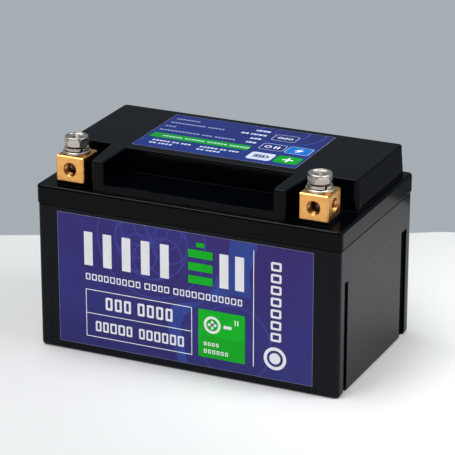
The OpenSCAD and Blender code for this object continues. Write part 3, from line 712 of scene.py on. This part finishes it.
def cut(bm, cutters):
    """Subtracts closed meshes, the cutters, from another one and returns the result. All are in millimetres."""
    objects = []
    for part in (bm, *cutters):
        bmesh.ops.remove_doubles(part, verts=part.verts, dist=WELD_DISTANCE)
        bmesh.ops.recalc_face_normals(part, faces=part.faces)
        mesh = bpy.data.meshes.new("part")
        part.to_mesh(mesh)
        part.free()
        objects.append(bpy.data.objects.new("part", mesh))
        scene.collection.objects.link(objects[-1])
    body = objects[0]
    for cutter in objects[1:]:
        modifier = body.modifiers.new("cut", "BOOLEAN")
        modifier.operation = "DIFFERENCE"
        modifier.solver = "EXACT"
        modifier.object = cutter
    bpy.context.view_layer.update()
    evaluated = body.evaluated_get(bpy.context.evaluated_depsgraph_get())
    result = bmesh.new()
    result.from_mesh(evaluated.data)
    for obj in objects:
        bpy.data.objects.remove(obj)
    return result


def cross_blade(centre, top, turn):
    """Tapered blade that cuts one arm pair of the recess in a screw head."""
    bm = bmesh.new()
    a = math.radians(turn)
    along = Vector((math.cos(a), math.sin(a), 0))
    side = Vector((-math.sin(a), math.cos(a), 0))
    loops = []
    for length, width, z in ((1.1, 0.4, top - 2.1), (3.2, 0.85, top + 0.7)):
        loops.append(
            [
                bm.verts.new(centre + along * (length * p) + side * (width * q) + Vector((0, 0, z)))
                for p, q in ((-1, -1), (1, -1), (1, 1), (-1, 1))
            ]
        )
    bridge(bm, loops[0], loops[1])
    bm.faces.new(loops[0])
    bm.faces.new(loops[1])
    return bm


def terminal_screw(side):
    """Hexagon-head screw with a rounded crown, a dished top, a cross recess and a real thread."""
    low, high = box_mm(f"{side}_screw")
    head_bottom = box_mm(f"{side}_spring_washer")[1].z
    head_top = high.z - head_bottom
    tip = low.z - head_bottom
    # heights are measured from the underside of the head
    centre = Vector(((low.x + high.x) / 2, (low.y + high.y) / 2, head_bottom))
    bm = bmesh.new()
    profile = v_thread(MINOR_RADIUS, MAJOR_RADIUS)
    start, end = thread_rows(bm, centre, tip + 0.7, -0.4, profile, MINOR_RADIUS)

    # tip
    rings = [(MINOR_RADIUS - 0.05, tip + 0.5), (MINOR_RADIUS - 0.5, tip + 0.06), (MINOR_RADIUS - 0.65, tip)]
    bm.faces.new(stack(bm, centre, start, rings))

    # underside of the head
    bearing, half_flats, corner, rim, dish_edge = 4.1, 5.0, 5.72, 5.38, 4.5
    rings = [(MINOR_RADIUS, -0.12), (MINOR_RADIUS + 0.12, 0.0), (bearing, 0.0)]
    # its six sides between two chamfers
    turn = math.radians(HEAD_TURN[side])
    sides = [min(half_flats / math.cos((a - turn) % (math.pi / 3) - math.pi / 6), corner) for a in RING_ANGLES]
    for height in (0.06, 0.3, 0.55, 0.8, 1.05, 1.3, 1.5):
        rings.append(([min(radius, bearing + 0.15 + height) for radius in sides], height))
    rings.append((sides, 2.6))
    for share, height in ((0.0, 3.35), (0.12, 3.6), (0.45, 3.85), (0.85, 4.05), (1.0, 4.2)):
        rings.append(([radius + (rim - radius) * share for radius in sides], height))
    # the round rim and the dish, measured down from the top
    for radius, below in (
        (rim, 0.42), (rim - 0.06, 0.26), (rim - 0.2, 0.1), (rim - 0.42, 0.01), (rim - 0.62, 0.0),
        (dish_edge, 0.02), (dish_edge - 0.14, 0.1), (dish_edge - 0.3, 0.42), (dish_edge - 0.5, 0.56), (1.6, 0.64),
    ):
        rings.append((radius, head_top - below))
    bm.faces.new(stack(bm, centre, end, rings))

    dish = head_top - 0.6
    bm = cut(bm, [cross_blade(centre, dish, CROSS_TURN + quarter) for quarter in (0.0, 90.0)])
    obj = finish_mesh(f"{side}_screw_threaded", bm, f"{side}_screw", STEEL, 28.0)
    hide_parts(f"{side}_screw")


def spring_washer(side):
    """Split ring whose ends stand a little apart in height, with softened corners."""
    node = f"{side}_spring_washer"
    low, high = box_mm(node)
    centre = Vector(((low.x + high.x) / 2, (low.y + high.y) / 2, low.z))
    inner, outer, lift, corner = 3.2, (high.x - low.x) / 2, 0.34, 0.22
    thick = high.z - low.z - lift
    section = rounded(inner, 0.0, outer, thick, corner)
    split, half_gap, slant = math.radians(-40.0), math.radians(5.0), 0.10
    count = 90
    bm = bmesh.new()
    loops = []
    for i in range(count + 1):
        share = i / count
        angle = split + half_gap + share * (2 * math.pi - 2 * half_gap)
        loop = []
        for r, z in section:
            a = angle + (z / thick - 0.5) * slant
            loop.append(bm.verts.new(centre + Vector((r * math.cos(a), r * math.sin(a), z + lift * share))))
        loops.append(loop)
    for a, b in zip(loops, loops[1:]):
        bridge(bm, a, b)
    bm.faces.new(loops[0])
    bm.faces.new(loops[-1])
    obj = finish_mesh(f"{side}_spring_washer_split", bm, f"{side}_washers", WASHER_STEEL, 40.0)
    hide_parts(node)


def thread_liner(name, mouth, inward, depth):
    """Thread of a hole: a ridged tube that lines the hole's wall."""
    wall, ridge, clear, buried = 3.0, 0.5, 0.02, 0.06
    origin = Vector((0, 0, 0))
    bm = bmesh.new()
    start, end = thread_rows(bm, origin, 0.0, depth, v_thread(wall - clear, wall - ridge), wall - clear)
    outside = stack(bm, origin, start, [(wall + buried, 0.0), (wall + buried, depth)])
    bridge(bm, outside, end)
    turn = Vector((0, 0, 1)).rotation_difference(Vector(inward)).to_matrix().to_4x4()
    bm.transform(Matrix.Translation(mouth) @ turn)
    finish_mesh(name, bm, "root", BRASS, 30.0)


# height of the underside of the brass blocks; below it, their stems go into the lid
BLOCK_BOTTOM = 80.4
# the threads in the holes start a little inside the mouths
MOUTH_INSET, THREAD_DEPTH = 0.3, 3.2

for side, outward in (("positive", -1), ("negative", 1)):
    terminal_screw(side)
    spring_washer(side)
    low, high = box_mm(f"{side}_terminal")
    middle = (Vector((low.x, low.y, BLOCK_BOTTOM)) + high) / 2
    front_mouth = Vector((middle.x, low.y + MOUTH_INSET, middle.z))
    thread_liner(f"{side}_front_thread", front_mouth, (0, 1, 0), THREAD_DEPTH)
    end_x = high.x if outward > 0 else low.x
    side_mouth = Vector((end_x - outward * MOUTH_INSET, middle.y, middle.z))
    thread_liner(f"{side}_side_thread", side_mouth, (-outward, 0, 0), THREAD_DEPTH)


# ---------------------------------------------------------------- stage, lights and camera
AZIMUTH, ELEVATION = math.radians(24.78), math.radians(20.74)
toward = Vector(
    (math.sin(AZIMUTH) * math.cos(ELEVATION), -math.cos(AZIMUTH) * math.cos(ELEVATION), math.sin(ELEVATION))
)
away = Vector((-math.sin(AZIMUTH), math.cos(AZIMUTH), 0))
sideways = Vector((math.cos(AZIMUTH), math.sin(AZIMUTH), 0))

camera_data = bpy.data.cameras.new("camera")
camera_data.sensor_width = 36.0
camera_data.lens = 197.25
camera_data.clip_start, camera_data.clip_end = 0.05, 20.0
camera = bpy.data.objects.new("camera", camera_data)
camera.location = (0.45038, -0.97376, 0.46111)
camera.rotation_mode = "QUATERNION"
camera.rotation_quaternion = (-toward).to_track_quat("-Z", "Y")
scene.collection.objects.link(camera)
scene.camera = camera


def stage_plane(name, corners, material):
    """Flat polygon that belongs to the stage, not to the object."""
    mesh = bpy.data.meshes.new(name)
    mesh.from_pydata([tuple(c) for c in corners], [], [tuple(range(len(corners)))])
    mesh.materials.append(material)
    obj = bpy.data.objects.new(name, mesh)
    scene.collection.objects.link(obj)


def floor_look(colour, spread):
    """Plain pale matt floor, very slightly uneven."""
    look = Look("floor_look")
    darker = tuple(c * (1 - spread) for c in colour)
    colour = look.mix(look.ramp(look.noise(3.0, 2.0), 0.3, 0.7), darker, colour)
    return look.set(Base_Color=colour, Roughness=0.6, Specular_IOR_Level=0.2)


REACH, RIGHT_REACH = 3.0, 0.8
# Back edge of the floor: how far to the side, and how far behind the middle of the object. It runs straight from
# the left to a little behind the object, and comes nearer again on the right.
BACK_EDGE = [(-REACH, 0.093), (0.094, 0.1365), (0.112, 0.1384), (0.23, 0.128), (RIGHT_REACH, 0.06)]
OUTLINE = [(-REACH, -REACH), (RIGHT_REACH, -REACH), *reversed(BACK_EDGE)]
stage_plane(
    "floor", [sideways * across + away * back for across, back in OUTLINE], floor_look((0.75, 0.75, 0.745), 0.02)
)


def add_light(data, place, target, power):
    data.energy = power
    obj = bpy.data.objects.new(data.name, data)
    obj.location = place
    obj.rotation_mode = "QUATERNION"
    obj.rotation_quaternion = (Vector(target) - Vector(place)).to_track_quat("-Z", "Y")
    scene.collection.objects.link(obj)
    return obj


def area_light(name, place, target, size, power):
    data = bpy.data.lights.new(name, "AREA")
    data.shape = "RECTANGLE"
    data.size, data.size_y = size
    return add_light(data, place, target, power)


area_light("overhead", (-0.42, -0.22, 1.5), (0, 0, 0), (1.4, 1.1), 19.5)
front_fill = area_light("front_fill", (-0.2, -1.45, 1.15), (0, 0, 0.05), (2.0, 1.2), 14.3)
# it lights the front face, but the rounded edges don't mirror it
front_fill.visible_glossy = False
area_light("right_fill", (1.5, 0.1, 1.0), (0.1, 0, 0), (1.2, 1.0), 8.5)

# soft pool of light on the floor at the right, which the end of the case reflects
pool = bpy.data.lights.new("pool", "SPOT")
pool.spot_size = math.radians(36.0)
pool.spot_blend = 1.0
pool.shadow_soft_size = 0.08
add_light(pool, (0.36, 0.02, 0.62), (0.14, 0.04, 0), 9.6)


def studio_world():
    """Grey studio wall: dimmer above the horizon and towards the back on the right, and dark on the camera's side."""
    wall = (0.468, 0.502, 0.53)
    dim_side = (0.22, 0.24, 0.262)
    upper = (0.245, 0.275, 0.30)
    dark = (0.012, 0.014, 0.017)
    dim_angle = math.radians(32.0)
    world = bpy.data.worlds.new("studio")
    world.use_nodes = True
    look = Nodes(world.node_tree, "Generated")
    height = look.axis("Z")
    towards_dim = look.dot(look.place, Vector((math.sin(dim_angle), math.cos(dim_angle), 0.0)))
    colour = look.mix(look.ramp(towards_dim, 0.72, 0.86), wall, dim_side)
    colour = look.mix(look.ramp(height, -0.05, 0.30), colour, upper)
    front = look.math("MULTIPLY", look.ramp(look.axis("Y"), 0.25, -0.15), look.ramp(height, 0.80, 0.60))
    front = look.math("MULTIPLY", front, look.ramp(height, -0.06, -0.01))
    colour = look.mix(front, colour, dark)
    background = look.tree.nodes["Background"]
    look.tree.links.new(colour, background.inputs["Color"])
    background.inputs["Strength"].default_value = 1.0
    return world


scene.world = studio_world()
scene.view_settings.view_transform = "Standard"
scene.view_settings.look = "None"
scene.view_settings.gamma = 0.8
